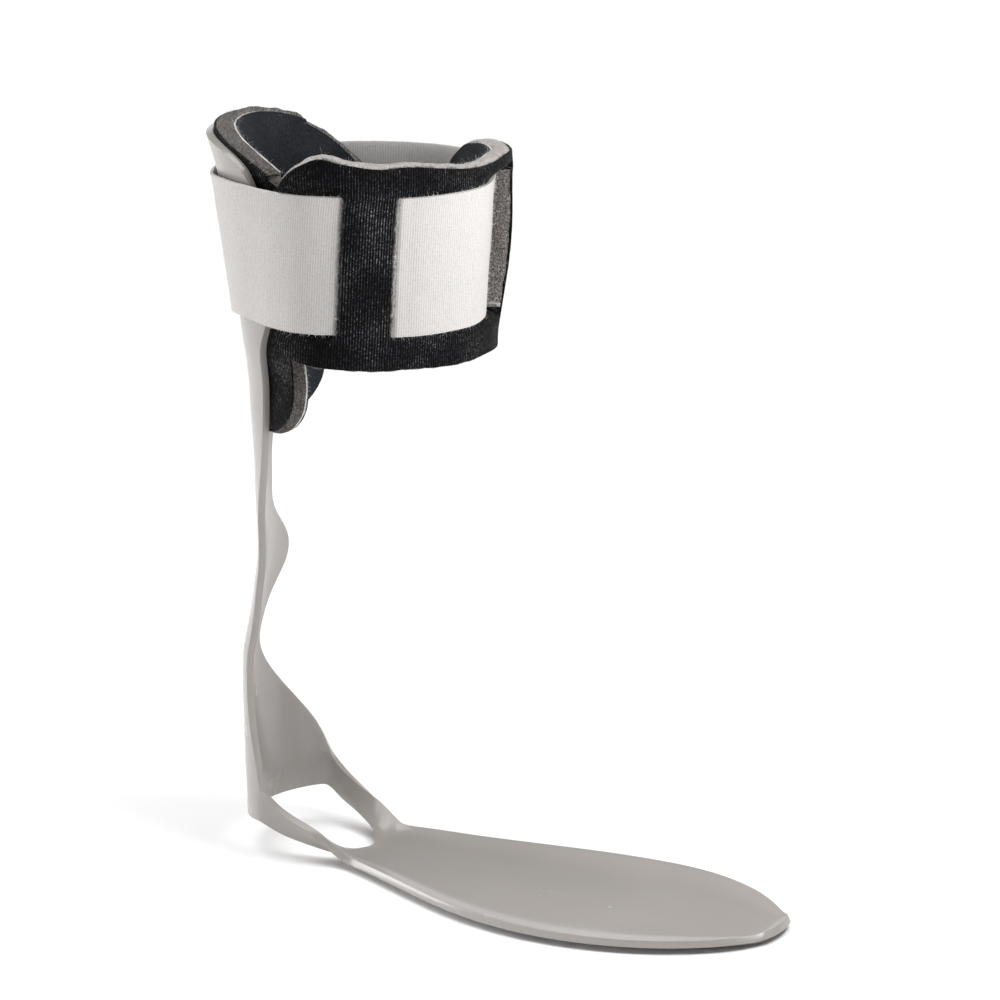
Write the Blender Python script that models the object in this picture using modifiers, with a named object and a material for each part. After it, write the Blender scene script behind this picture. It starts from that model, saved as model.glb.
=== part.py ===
"""Ankle foot orthosis for a right foot: a moulded posterior leaf-spring splint with a free heel.

Frame: metres, +Z up, +X towards the toes, +Y towards the medial (big toe) side. The origin lies on the
underside of the foot plate, half way along the foot. Lengths below are in millimetres.
"""
import math

import bmesh
import bpy
import numpy as np
from mathutils import Matrix, Vector

MM = 0.001
GAP = 0.3                      # clearance kept between pieces that touch
LAYER_GAP = 0.5                # the same between the layers of a pad

# Foot plate and heel
FOOT_LENGTH = 260.0            # heel to toe of the whole splint
HEEL_RADIUS = 31.0             # outer radius of the heel wall, centred this far in front of the heel
TOE_OUT = 20.0                 # degrees that the foot turns out from the calf's own forward direction
RIM_LIFT = 2.4                 # how far the plate's border curls up

# Moulded wall
WALL = 3.2                     # polypropylene thickness
FLEX_LOW = 85.0                # the leaf spring bends between these heights
FLEX_HIGH = 195.0
CUFF_TOP = 323.0
TOP_DROP = 13.5                # the cuff's top edge is this much lower at 58 degrees from the back

# Padding, from the outside in
FABRIC = 1.0
FOAM = 6.4
SCRIM = 0.5
LINING = 0.8
HOOK_TAPE = 1.0

# Strap
STRAP_WIDTH = 59.0
STRAP_THICK = 1.3
STRAP_LOW = 249.0
STRAP_TOP = STRAP_LOW + STRAP_WIDTH

# Front pad, in degrees round the calf's centre from the calf's forward direction, medial positive
FRONT_MIDDLE = -27.0
FRONT_HALF = 88.0
INNER_SLOT = 36.5              # half angle between the two inner slots
OUTER_SLOT = 61.5              # half angle between the two outer slots
SLOT_HALF = 3.0                # half angle of one slot
FRONT_RADIUS = 63.0
FRONT_LAP = 6.0                # how much further out the pad lies where it laps the calf pad

# Calf pad, in degrees from the back
PAD_LATERAL = 74.0
PAD_MEDIAL = 80.0
TONGUE_LATERAL = 57.0
TONGUE_MEDIAL = 45.0
TONGUE_LOW = 197.0
PAD_WING_LOW = 241.0
PAD_HIGH = 326.5

# Strap stretches, in the same degrees as the front pad
TAIL_END = -212.0              # where the strap's free end lies behind the cuff
SWING_ANGLE = 69.0             # where the strap bends as the front pad swings open
ANCHOR_END = 141.0
PEEL_ANGLE = -90.0             # where the strap's free end bends as it is peeled off
RIVET_ANGLE = 126.0
RIVET_HEIGHTS = (262.0, 294.0)
RIVET_RADIUS = 2.0
RIVET_HEAD_RADIUS = 5.0
WASHER_RADIUS = 4.6

# Wall stations: height, outer radius, centre ahead of the heel, centre to the side,
# then how far the wall wraps from the back to its lateral and to its medial edge, in degrees.
STATIONS = (
    (13, 30.6, 31.0, 0, 49, 90), (30, 31.0, 31.0, 0, 50, 90), (38, 31.4, 31.0, 0, 49, 84),
    (47, 31.4, 31.0, 0, 45, 75), (57, 31.4, 31.0, 0, 39, 60), (71, 31.5, 30.9, 0, 35.5, 38),
    (81, 31.8, 31.1, 1, 34.5, 23), (90, 32.5, 31.9, 2, 33.8, 15.5), (98, 34.5, 35.4, 3, 33, 13.5),
    (107, 39, 41.7, 4, 29.5, 14.5), (121, 51, 55.5, 7, 25, 24.5), (132, 62, 68, 8.5, 23, 21),
    (142, 72, 78.5, 9.5, 21.5, 11.5), (150, 79, 85.5, 10, 21, 4.5), (165, 77, 83.1, 9, 26, 5),
    (181, 62, 67.9, 7, 33, 9), (200, 55, 60.3, 4, 40, 24), (222, 53, 57.9, 1, 43.5, 33),
    (235, 54, 57.4, 0, 45, 40), (248, 55.3, 57.2, 0, 53, 51), (262, 56.6, 56.8, 0, 57, 61),
    (285, 58.9, 56.0, 0, 58.5, 66), (308, 61.6, 55.4, 0, 58, 64), (323, 65.2, 54.9, 0, 52, 56),
)

# Plate border from the rear of the plate to the toe, ahead of the heel and to the side
LATERAL_BORDER = ((62, -22.8), (80, -28.5), (100, -35.5), (128, -44.5), (158, -48.5), (188, -45.5),
                  (216, -36), (238, -22.5), (252, -8), (259, 5))
MEDIAL_BORDER = ((62, 23.5), (80, 27), (100, 30), (128, 36), (158, 42.5), (188, 46.5),
                 (212, 45.5), (234, 38.5), (250, 28), (259, 19))

# Height of the front pad's upper and lower edge at angles round it
FRONT_TOP = ((-115, 301), (-113.5, 307), (-110.5, 312.5), (-106.3, 317.8), (-102, 320.8), (-96.5, 323.4),
             (-87.3, 321.7), (-73.5, 319.0), (-60.8, 318.8), (-47, 317), (-30, 314.8), (-13, 314.8),
             (-5, 315.2), (20, 314), (42, 312.5), (52, 310), (57, 306), (60, 301), (61, 297))
FRONT_BOTTOM = ((-115, 257), (-112.8, 248.5), (-110, 242.8), (-106, 238.4), (-101.5, 236.4), (-95, 235),
                (-84.5, 234.2), (-69, 232.8), (-57, 232.6), (-35, 231.4), (-15.7, 231.6), (8, 230.4),
                (40, 232.5), (50, 236), (57, 243), (60, 252), (61, 258))

# Lateral heel branch: its upper edge and its lower edge from the plate back to the heel wall
BRANCH_RIM = ((62, -22.8, 2.4), (55, -24, 6.2), (48, -25.3, 12.3), (40, -26.9, 16.8), (30, -28.4, 22.0))
BRANCH_EDGE = ((62, 0, 0), (57, -11, 0.6), (50, -17.5, 3.4), (40, -22.4, 7.0), (29, -26.2, 10.6))


def smooth(table, x):
    """Cubic curve through the rows of a table, read at x in its first column."""
    data = np.array(table, float)
    keys = data[:, 0]
    slopes = np.gradient(data, keys, axis=0)
    i = int(np.clip(np.searchsorted(keys, x) - 1, 0, len(keys) - 2))
    span = keys[i + 1] - keys[i]
    t = (x - keys[i]) / span
    a = data[i] * (2 * t**3 - 3 * t**2 + 1) + data[i + 1] * (3 * t**2 - 2 * t**3)
    b = slopes[i] * (t**3 - 2 * t**2 + t) + slopes[i + 1] * (t**3 - t**2)
    return (a + b * span)[1:]


def along(points, t):
    """Point at t from 0 to 1 on a smooth curve through a list of points."""
    table = [(k,) + tuple(p) for k, p in enumerate(points)]
    return smooth(table, t * (len(points) - 1))


def ease(x):
    """Smooth step from 0 to 1."""
    x = min(max(x, 0.0), 1.0)
    return x * x * (3 - 2 * x)


def to_foot(forward, side, height):
    """From the calf's frame, which is turned in by TOE_OUT about the heel, to the part's frame."""
    turn = math.radians(TOE_OUT)
    x = HEEL_RADIUS + (forward - HEEL_RADIUS) * math.cos(turn) - side * math.sin(turn)
    y = (forward - HEEL_RADIUS) * math.sin(turn) + side * math.cos(turn)
    return ((x - FOOT_LENGTH / 2) * MM, y * MM, height * MM)


def on_foot(x, y, z):
    """From millimetres ahead of the heel to the part's frame."""
    return ((x - FOOT_LENGTH / 2) * MM, y * MM, z * MM)


def wall_point(height, across):
    """Point on the wall's outer face. across runs from -1 at the lateral edge to 1 at the medial."""
    lateral, medial = smooth(STATIONS, height)[3:5]
    back = across * (lateral if across < 0 else medial)
    drop = TOP_DROP * ease((height - 250) / (CUFF_TOP - 250)) * (abs(back) / 58) ** 4
    lift = 3.0 * (abs(back - TOE_OUT) / 70) ** 2 * (1 - ease((height - 13) / 17))
    z = height - drop + lift
    radius, ahead, side = smooth(STATIONS, z)[:3]
    turn = math.radians(back)
    return to_foot(ahead - radius * math.cos(turn), side + radius * math.sin(turn), z)


def calf_point(angle, radius, height):
    """Point round the calf at an angle from its forward direction. The radius is the one at the
    strap's top edge, and it tapers below that as the calf does."""
    height_on_calf = min(max(height, 235.0), STRAP_TOP)
    local, ahead = smooth(STATIONS, height_on_calf)[:2]
    radius += local - smooth(STATIONS, STRAP_TOP)[0]
    turn = math.radians(angle)
    return to_foot(ahead + radius * math.cos(turn), radius * math.sin(turn), height)


def skew(angle, height):
    """The front pad and the strap are cut straight and lie on a cone, so their upright lines lean."""
    middle = (STRAP_LOW + STRAP_TOP) / 2
    local = smooth(STATIONS, min(max(height, 235.0), STRAP_TOP))[0] - smooth(STATIONS, middle)[0]
    offset = angle - FRONT_MIDDLE
    fade = 1 - ease((abs(offset) - FRONT_HALF) / 40)
    return angle - offset * fade * local / FRONT_RADIUS


def strap_shift(angle):
    """How far the strap sits above its level line: it dips over the shin and behind the cuff."""
    return -2.0 * ease((angle + 88) / 28) - 2.5 * ease((-140 - angle) / 30)


def new_material(name, color, roughness):
    material = bpy.data.materials.new(name)
    material.use_nodes = True
    shader = material.node_tree.nodes["Principled BSDF"]
    shader.inputs["Base Color"].default_value = (*color, 1)
    shader.inputs["Roughness"].default_value = roughness
    return material


def add_object(name, bm, material):
    mesh = bpy.data.meshes.new(name)
    bm.to_mesh(mesh)
    bm.free()
    mesh.materials.append(material)
    mesh.shade_smooth()
    mesh.set_sharp_from_angle(angle=math.radians(40))
    item = bpy.data.objects.new(name, mesh)
    parts.objects.link(item)
    return item


def add_grid(bm, rows, skip=()):
    """Quads between rows of points. skip lists (row, column) cells that stay open."""
    verts = [[bm.verts.new(p) for p in row] for row in rows]
    for i in range(len(rows) - 1):
        for j in range(len(rows[0]) - 1):
            if (i, j) not in skip:
                bm.faces.new((verts[i][j], verts[i][j + 1], verts[i + 1][j + 1], verts[i + 1][j]))


def thicken(item, thickness, even=False):
    """Solid below the item's faces. even keeps the thickness through sharp bends."""
    solid = item.modifiers.new("Wall", "SOLIDIFY")
    solid.thickness = thickness * MM
    solid.offset = -1
    solid.use_even_offset = even
    solid.use_quality_normals = True


def sheet(name, rows, thickness, material, skip=(), even=False):
    """Closed curved slab whose outer face is the grid of points."""
    bm = bmesh.new()
    add_grid(bm, rows, skip)
    loose = [v for v in bm.verts if not v.link_faces]
    bmesh.ops.delete(bm, geom=loose, context="VERTS")
    item = add_object(name, bm, material)
    thicken(item, thickness, even)
    return item


def wall_rows(low, high, step, columns):
    """Rows of the moulded wall from one height to another, lateral edge first."""
    count = max(1, round((high - low) / step))
    heights = np.linspace(low, high, count + 1)
    return [[wall_point(h, a) for a in np.linspace(-1, 1, columns + 1)] for h in heights]


def plate_rows(rows, columns):
    """Rows of the plate's underside from its rear edge to the toe, lateral border first."""
    result = []
    for i in range(rows + 1):
        t = i / rows
        lateral = along(LATERAL_BORDER, t)
        medial = along(MEDIAL_BORDER, t)
        row = []
        for j in range(columns + 1):
            across = 2 * j / columns - 1
            x, y = lateral + (medial - lateral) * (across + 1) / 2
            x += 1.6 * ease((t - 0.8) / 0.2) * (1 - across**2)
            z = RIM_LIFT * max(ease((abs(across) - 0.74) / 0.26), ease((t - 0.93) / 0.07))
            row.append(on_foot(x, y, z))
        result.append(row)
    return result


def branch_rows(side, rows, columns):
    """Rows of one heel branch from the plate back to the heel wall, upper edge first."""
    result = []
    for i in range(rows + 1):
        rim = along(BRANCH_RIM, i / rows)
        edge = along(BRANCH_EDGE, i / rows)
        row = [rim + (edge - rim) * (j / columns) for j in range(columns + 1)]
        result.append([on_foot(p[0], p[1] * side * -1, p[2]) for p in row])
    return result


def make_foot_section(material):
    """Foot plate, both heel branches and the heel wall: one moulding with an open heel."""
    half = 4
    heel_rows = wall_rows(13, 30, 17 / half, 14)
    upper_rows = wall_rows(30, FLEX_LOW - GAP / 2, 6, 14)
    plate = plate_rows(18, 2 * half)
    bm = bmesh.new()
    add_grid(bm, heel_rows)
    add_grid(bm, upper_rows)
    add_grid(bm, plate)
    for side in (-1, 1):
        branch = branch_rows(side, 6, half)
        column = 0 if side < 0 else -1
        branch[0] = plate[0][:half + 1] if side < 0 else plate[0][::-1][:half + 1]
        branch.append([row[column] for row in heel_rows][::-1])
        add_grid(bm, branch)
    bmesh.ops.remove_doubles(bm, verts=bm.verts, dist=0.00001)
    bmesh.ops.recalc_face_normals(bm, faces=bm.faces)
    if sum(face.normal.z for face in bm.faces) > 0:
        bmesh.ops.reverse_faces(bm, faces=bm.faces)
    item = add_object("foot_section", bm, material)
    thicken(item, WALL)
    return item


def front_radius(angle):
    """Outer radius of the front pad, which laps over the calf pad on the lateral side."""
    return FRONT_RADIUS + FRONT_LAP * ease((-52 - angle) / 40)


def front_columns():
    """Angles of the front pad's columns, with a pair on each slot."""
    slots = [FRONT_MIDDLE + s * a for s in (-1, 1) for a in (INNER_SLOT, OUTER_SLOT)]
    edges = [s + d for s in slots for d in (-SLOT_HALF, SLOT_HALF)]
    ends = [FRONT_MIDDLE - FRONT_HALF, FRONT_MIDDLE + FRONT_HALF]
    marks = sorted(edges + ends)
    columns = []
    for low, high in zip(marks[:-1], marks[1:]):
        count = max(1, round((high - low) / 7.5))
        columns += list(np.linspace(low, high, count + 1)[:-1])
    columns.append(marks[-1])
    return columns, edges


def front_rows(depth):
    """Grid of one front pad layer whose outer face lies this deep, and its open slot cells."""
    columns, edges = front_columns()
    rows = []
    for k in range(5):
        row = []
        for angle in columns:
            low = smooth(FRONT_BOTTOM, angle)[0]
            high = smooth(FRONT_TOP, angle)[0]
            slot_low = max(STRAP_LOW - 2 + strap_shift(angle), low + 1)
            slot_high = min(STRAP_TOP + 2 + strap_shift(angle), high - 1)
            height = (low, slot_low, (slot_low + slot_high) / 2, slot_high, high)[k]
            row.append(calf_point(skew(angle, height), front_radius(angle) - depth, height))
        rows.append(row)
    starts = [min(range(len(columns)), key=lambda j: abs(columns[j] - e)) for e in sorted(edges)[::2]]
    skip = [(i, j) for j in starts for i in (1, 2)]
    return rows, skip


def make_front_pad(materials):
    layers = (("front_pad_outer_fabric", FABRIC, "loop_fabric"), ("front_pad_foam", FOAM, "foam"),
              ("front_pad_scrim", SCRIM, "scrim"), ("front_pad_lining", LINING, "lining"))
    depth = 0.0
    for name, thickness, slot in layers:
        rows, skip = front_rows(depth)
        sheet(name, rows, thickness, materials[slot], skip)
        depth += thickness + LAYER_GAP


def pad_outer(height):
    """Centre and outer radius of the calf pad at a height."""
    radius, ahead = smooth(STATIONS, min(max(height, 222), CUFF_TOP))[:2]
    radius -= WALL + HOOK_TAPE + 3 * GAP
    low = ease((235 - height) / 20)
    return ahead + 0.6 * low, radius - 1.2 * low


def calf_pad_rows(depth, columns=18, rows=9):
    """Grid of one calf pad layer: two wings and a tongue that hangs down the strut."""
    result = []
    for i in range(rows + 1):
        row = []
        for j in range(columns + 1):
            across = 2 * j / columns - 1
            back = across * (PAD_LATERAL if across < 0 else PAD_MEDIAL)
            top = PAD_HIGH - 19 * (abs(back) / 65) ** 2.6
            edge = TONGUE_LATERAL if across < 0 else TONGUE_MEDIAL
            low = TONGUE_LOW + (PAD_WING_LOW - TONGUE_LOW) * ease((abs(back) - edge + 5) / 10)
            height = low + (top - low) * i / rows
            ahead, radius = pad_outer(height)
            turn = math.radians(back)
            forward = ahead - (radius - depth) * math.cos(turn)
            row.append(to_foot(forward, (radius - depth) * math.sin(turn), height))
        result.append(row)
    return result


def make_calf_pad(materials):
    layers = (("calf_pad_outer_fabric", FABRIC, "loop_fabric"), ("calf_pad_foam", FOAM, "foam"),
              ("calf_pad_scrim", SCRIM, "scrim"), ("calf_pad_lining", LINING, "lining"))
    depth = 0.0
    for name, thickness, slot in layers:
        sheet(name, calf_pad_rows(depth)[::-1], thickness, materials[slot])
        depth += thickness + LAYER_GAP


def make_pad_hooks(material):
    """Three self-adhesive hook patches inside the cuff that hold the calf pad."""
    for name, middle in (("lateral", -38), ("rear", 0), ("medial", 38)):
        rows = []
        for height in (262, 275, 288, 301):
            row = []
            for back in np.linspace(middle - 10, middle + 10, 4):
                radius, ahead = smooth(STATIONS, height)[:2]
                radius -= WALL + GAP
                turn = math.radians(back)
                row.append(to_foot(ahead - radius * math.cos(turn), radius * math.sin(turn), height))
            rows.append(row)
        sheet("pad_hook_patch_" + name, rows[::-1], HOOK_TAPE, material)


def strap_sheet(name, path, material):
    """Strap stretch along a path of (angle, outer radius)."""
    rows = []
    for level in np.linspace(STRAP_LOW, STRAP_TOP, 4):
        row = []
        for angle, radius in path:
            height = level + strap_shift(angle)
            row.append(calf_point(skew(angle, height), radius, height))
        rows.append(row)
    return sheet(name, rows, STRAP_THICK, material, even=True)


def arc_path(start, end, radius, step=6.0):
    """Path at a radius, which may be a function of the angle."""
    count = max(1, round(abs(end - start) / step))
    angles = np.linspace(start, end, count + 1)
    return [(a, radius(a) if callable(radius) else radius) for a in angles]


def over_pad(angle):
    return front_radius(angle) + STRAP_THICK + GAP


def under_pad(angle):
    return front_radius(angle) - (FABRIC + FOAM + SCRIM + LINING + 4 * LAYER_GAP)


def make_front_strap(material):
    """The strap as it is threaded through the front pad's four slots, lateral slot first."""
    marks = [FRONT_MIDDLE + a for a in (-OUTER_SLOT, -INNER_SLOT, INNER_SLOT, OUTER_SLOT)]
    path = [(marks[0], over_pad(marks[0]))]
    path += arc_path(marks[0], marks[1], under_pad)
    path += arc_path(marks[1], marks[2], over_pad)
    path += arc_path(marks[2], marks[3], under_pad)
    path += arc_path(marks[3], SWING_ANGLE - 0.4, over_pad)
    strap_sheet("strap_front", path, material)


def tail_radius(angle):
    """The free end lies on the front pad's lateral end, then on the cuff and its hook patch."""
    on_pad = over_pad(angle)
    on_cuff = CUFF_RADIUS + HOOK_TAPE + STRAP_THICK + 2 * GAP
    return on_pad + (on_cuff - on_pad) * ease((FRONT_MIDDLE - FRONT_HALF - 2 - angle) / 16)


def anchor_radius(angle):
    """The anchored end leaves the front pad and lies on the cuff's medial wing."""
    on_cuff = CUFF_RADIUS + STRAP_THICK + GAP
    return over_pad(angle) + (on_cuff - over_pad(angle)) * ease((angle - SWING_ANGLE) / 40)


def make_closure_patch(material):
    """Hook patch on the cuff's back that the strap's free end grips."""
    rows = []
    for height in np.linspace(STRAP_LOW + 4, STRAP_TOP - 8, 4):
        radius = CUFF_RADIUS + GAP + HOOK_TAPE
        rows.append([calf_point(a, radius, height) for a in np.linspace(-205, -160, 8)])
    sheet("closure_hook_patch", rows, HOOK_TAPE, material)


def rivet_frame(height):
    """Point on the cuff's outer face at a rivet, and the face's outward direction there."""
    around = [Vector(calf_point(RIVET_ANGLE + d, CUFF_RADIUS, height)) for d in (-3, 3)]
    upright = [Vector(calf_point(RIVET_ANGLE, CUFF_RADIUS, height + d)) for d in (-6, 6)]
    direction = (around[1] - around[0]).cross(upright[1] - upright[0]).normalized()
    return Vector(calf_point(RIVET_ANGLE, CUFF_RADIUS, height)), direction


def add_disc(bm, height, radius, low, high):
    """Round solid along a rivet's axis, from low to high millimetres outside the cuff."""
    point, direction = rivet_frame(height)
    middle = point + direction * (low + high) / 2 * MM
    place = Matrix.Translation(middle) @ direction.to_track_quat("Z", "Y").to_matrix().to_4x4()
    bmesh.ops.create_cone(bm, cap_ends=True, segments=20, radius1=radius * MM, radius2=radius * MM,
                          depth=(high - low) * MM, matrix=place)


def add_cutter(name, bm):
    mesh = bpy.data.meshes.new(name)
    bm.to_mesh(mesh)
    bm.free()
    cutter = bpy.data.objects.new(name, mesh)
    cutter.hide_render = True
    cutter.display_type = "WIRE"
    cutters.objects.link(cutter)
    return cutter


def combine(item, cutter, operation="DIFFERENCE"):
    boolean = item.modifiers.new(cutter.name, "BOOLEAN")
    boolean.operation = operation
    boolean.solver = "EXACT"
    boolean.object = cutter


def cut_rivet_holes(item):
    """Holes for both rivets through a piece."""
    bm = bmesh.new()
    for height in RIVET_HEIGHTS:
        add_disc(bm, height, RIVET_RADIUS + GAP, -8, 8)
    combine(item, add_cutter(item.name + "_rivet_holes", bm))


def make_rivet(name, height, material):
    """A rivet through strap and cuff, and its washer inside the cuff."""
    head_low = STRAP_THICK + 2.5 * GAP
    washer_low = -(WALL + 2 * GAP + 0.7)
    washer = bmesh.new()
    add_disc(washer, height, WASHER_RADIUS, washer_low, washer_low + 0.7)
    hole = bmesh.new()
    add_disc(hole, height, RIVET_RADIUS + GAP, washer_low - 1, washer_low + 2)
    item = add_object("rivet_washer_" + name, washer, material)
    combine(item, add_cutter("washer_hole_" + name, hole))
    head = bmesh.new()
    add_disc(head, height, RIVET_HEAD_RADIUS, head_low, head_low + 1.1)
    shank = bmesh.new()
    add_disc(shank, height, RIVET_RADIUS, washer_low - 0.2, head_low + 0.5)
    item = add_object("strap_rivet_" + name, head, material)
    combine(item, add_cutter("rivet_shank_" + name, shank), "UNION")


def new_collection(name):
    collection = bpy.data.collections.new(name)
    bpy.context.scene.collection.children.link(collection)
    return collection


for old in list(bpy.data.objects):
    bpy.data.objects.remove(old, do_unlink=True)
parts = new_collection("ankle_foot_orthosis")
cutters = new_collection("cutters")
CUFF_RADIUS = float(smooth(STATIONS, STRAP_TOP)[0])

materials = {
    "shell": new_material("moulded_polypropylene", (0.62, 0.6, 0.57), 0.3),
    "loop_fabric": new_material("black_loop_fabric", (0.02, 0.02, 0.022), 0.9),
    "foam": new_material("grey_foam", (0.2, 0.19, 0.18), 0.95),
    "scrim": new_material("white_scrim", (0.75, 0.74, 0.72), 0.9),
    "lining": new_material("black_lining", (0.025, 0.027, 0.032), 0.8),
    "webbing": new_material("strap_webbing", (0.74, 0.72, 0.69), 0.8),
    "hook_tape": new_material("hook_tape", (0.03, 0.03, 0.03), 0.6),
    "metal": new_material("nickel_plate", (0.6, 0.6, 0.58), 0.3),
}
materials["metal"].node_tree.nodes["Principled BSDF"].inputs["Metallic"].default_value = 1.0

make_foot_section(materials["shell"])
sheet("leaf_spring", wall_rows(FLEX_LOW + GAP / 2, FLEX_HIGH - GAP / 2, 6, 8)[::-1], WALL, materials["shell"])
cuff = sheet("calf_cuff", wall_rows(FLEX_HIGH + GAP / 2, CUFF_TOP, 7, 18)[::-1], WALL, materials["shell"])
cut_rivet_holes(cuff)
make_calf_pad(materials)
make_pad_hooks(materials["hook_tape"])
make_front_pad(materials)
make_front_strap(materials["webbing"])
strap_sheet("strap_tail", arc_path(TAIL_END, PEEL_ANGLE - 0.6, tail_radius), materials["webbing"])
anchor = strap_sheet("strap_anchor", arc_path(SWING_ANGLE + 0.6, ANCHOR_END, anchor_radius), materials["webbing"])
cut_rivet_holes(anchor)
make_closure_patch(materials["hook_tape"])
for rivet_name, rivet_height in zip(("lower", "upper"), RIVET_HEIGHTS):
    make_rivet(rivet_name, rivet_height, materials["metal"])
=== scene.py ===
"""Looks of the ankle foot orthosis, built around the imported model.

Lengths are in millimetres and turn into metres in to_foot() and on_foot(). The moulded shell, the two
laminated pads and the strap follow the same curves as the CAD model, with finer meshes on top.
"""
import math

import bmesh
import bpy
import numpy as np
from mathutils import Matrix, Vector, noise


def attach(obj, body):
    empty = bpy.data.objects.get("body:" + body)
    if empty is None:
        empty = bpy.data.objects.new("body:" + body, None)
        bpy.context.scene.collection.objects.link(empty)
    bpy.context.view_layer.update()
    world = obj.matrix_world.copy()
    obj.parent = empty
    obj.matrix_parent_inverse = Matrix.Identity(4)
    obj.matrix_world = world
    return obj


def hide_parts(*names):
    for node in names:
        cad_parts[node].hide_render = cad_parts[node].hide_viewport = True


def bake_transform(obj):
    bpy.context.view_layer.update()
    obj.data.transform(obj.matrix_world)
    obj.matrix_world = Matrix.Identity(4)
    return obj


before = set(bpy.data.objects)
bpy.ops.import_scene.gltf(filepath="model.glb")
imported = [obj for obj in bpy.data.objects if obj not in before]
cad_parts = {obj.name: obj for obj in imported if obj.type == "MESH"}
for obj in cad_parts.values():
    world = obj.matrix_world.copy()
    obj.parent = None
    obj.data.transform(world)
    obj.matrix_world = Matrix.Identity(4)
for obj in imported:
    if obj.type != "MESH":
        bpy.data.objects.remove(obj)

MM = 0.001
FOOT_LENGTH = 260.0
HEEL_RADIUS = 31.0
TOE_OUT = 20.0
RIM_LIFT = 2.4
WALL = 3.2
WALL_LOW = 13.0
BRANCH_HIGH = 30.0             # the heel branches leave the heel wall below this height
DROP_START = 250.0             # the cuff's and the calf pad's top edges fall away above this height
CUFF_TOP = 323.0
TOP_DROP = 13.5
TAPER_LOW = 235.0              # the calf tapers evenly above this height
EDGE_ROUND = 0.9

# Layers of both pads, from the outside in: each one's outer and inner depth
FABRIC_DEPTH = (0.0, 1.2)
FOAM_DEPTH = (1.15, 8.5)
SCRIM_DEPTH = (8.45, 9.1)
LINING_DEPTH = (9.05, 10.1)

STRAP_WIDTH = 59.0
STRAP_THICK = 1.3
STRAP_LOW = 249.0
STRAP_TOP = STRAP_LOW + STRAP_WIDTH
STRAP_MIDDLE = (STRAP_LOW + STRAP_TOP) / 2
SLOT_LOW = STRAP_LOW - 1
SLOT_HIGH = STRAP_TOP + 1

FRONT_MIDDLE = -27.0           # the front pad's middle and half width, in degrees
FRONT_HALF = 88.0
FRONT_START = FRONT_MIDDLE - FRONT_HALF
FRONT_END = FRONT_MIDDLE + FRONT_HALF
SLOTS = (-88.5, -63.5, 9.5, 34.5)
SLOT_HALF = 3.0
FRONT_LOW = 232.0              # edges of the front pad's flat cut, before FRONT_TOP and FRONT_BOTTOM
FRONT_HIGH = 320.0
FRONT_RADIUS = 63.0
FRONT_LAP = 6.0
UNDER_DEPTH = 10.5             # the strap passes this far below the front pad's outer face

PAD_LATERAL = 254.0            # the calf pad's ends, in degrees from the calf's forward direction
PAD_MEDIAL = 100.0
TONGUE_LATERAL = 239.0
TONGUE_MEDIAL = 135.0
TONGUE_LOW = 197.0
PAD_WING_LOW = 241.0
PAD_HIGH = 326.5

FLOOR_REACH = 40.0             # metres from the middle of the floor to its edges
FLOOR_GAP = 0.0008
CAMERA_TARGET = (-0.003, 0.0, 0.1735)
CAMERA_TURN = 31.0
CAMERA_RISE = 16.8
CAMERA_DISTANCE = 1.5
CAMERA_SENSOR = 36
CAMERA_LENS = 128.1
LAMP_TARGET = (-0.06, 0.0, 0.27)

TAIL_END = -212.0
SWING_ANGLE = 69.0
PEEL_ANGLE = -90.0
ANCHOR_END = 141.0
RIVET_ANGLE = 126.0
RIVET_HEIGHTS = (262.0, 294.0)

# Wall stations: height, outer radius, centre ahead of the heel, centre to the side,
# then how far the wall wraps from the back to its lateral and to its medial edge, in degrees.
STATIONS = (
    (13, 30.6, 31.0, 0, 49, 90), (30, 31.0, 31.0, 0, 50, 90), (38, 31.4, 31.0, 0, 49, 84),
    (47, 31.4, 31.0, 0, 45, 75), (57, 31.4, 31.0, 0, 39, 60), (71, 31.5, 30.9, 0, 35.5, 38),
    (81, 31.8, 31.1, 1, 34.5, 23), (90, 32.5, 31.9, 2, 33.8, 15.5), (98, 34.5, 35.4, 3, 33, 13.5),
    (107, 39, 41.7, 4, 29.5, 14.5), (121, 51, 55.5, 7, 25, 24.5), (132, 62, 68, 8.5, 23, 21),
    (142, 72, 78.5, 9.5, 21.5, 11.5), (150, 79, 85.5, 10, 21, 4.5), (165, 77, 83.1, 9, 26, 5),
    (181, 62, 67.9, 7, 33, 9), (200, 55, 60.3, 4, 40, 24), (222, 53, 57.9, 1, 43.5, 33),
    (235, 54, 57.4, 0, 45, 40), (248, 55.3, 57.2, 0, 53, 51), (262, 56.6, 56.8, 0, 57, 61),
    (285, 58.9, 56.0, 0, 58.5, 66), (308, 61.6, 55.4, 0, 58, 64), (323, 65.2, 54.9, 0, 52, 56),
)
LATERAL_BORDER = ((62, -22.8), (80, -28.5), (100, -35.5), (128, -44.5), (158, -48.5), (188, -45.5),
                  (216, -36), (238, -22.5), (251, -10), (257.5, 0.5))
MEDIAL_BORDER = ((62, 23.5), (80, 27), (100, 30), (128, 36), (158, 42.5), (188, 46.5),
                 (212, 45.5), (234, 38.5), (249, 29), (257.5, 22))
BRANCH_RIM = ((62, -22.8, 2.4), (55, -24, 6.2), (48, -25.3, 12.3), (40, -26.9, 16.8), (30, -28.4, 22.0))
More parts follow.
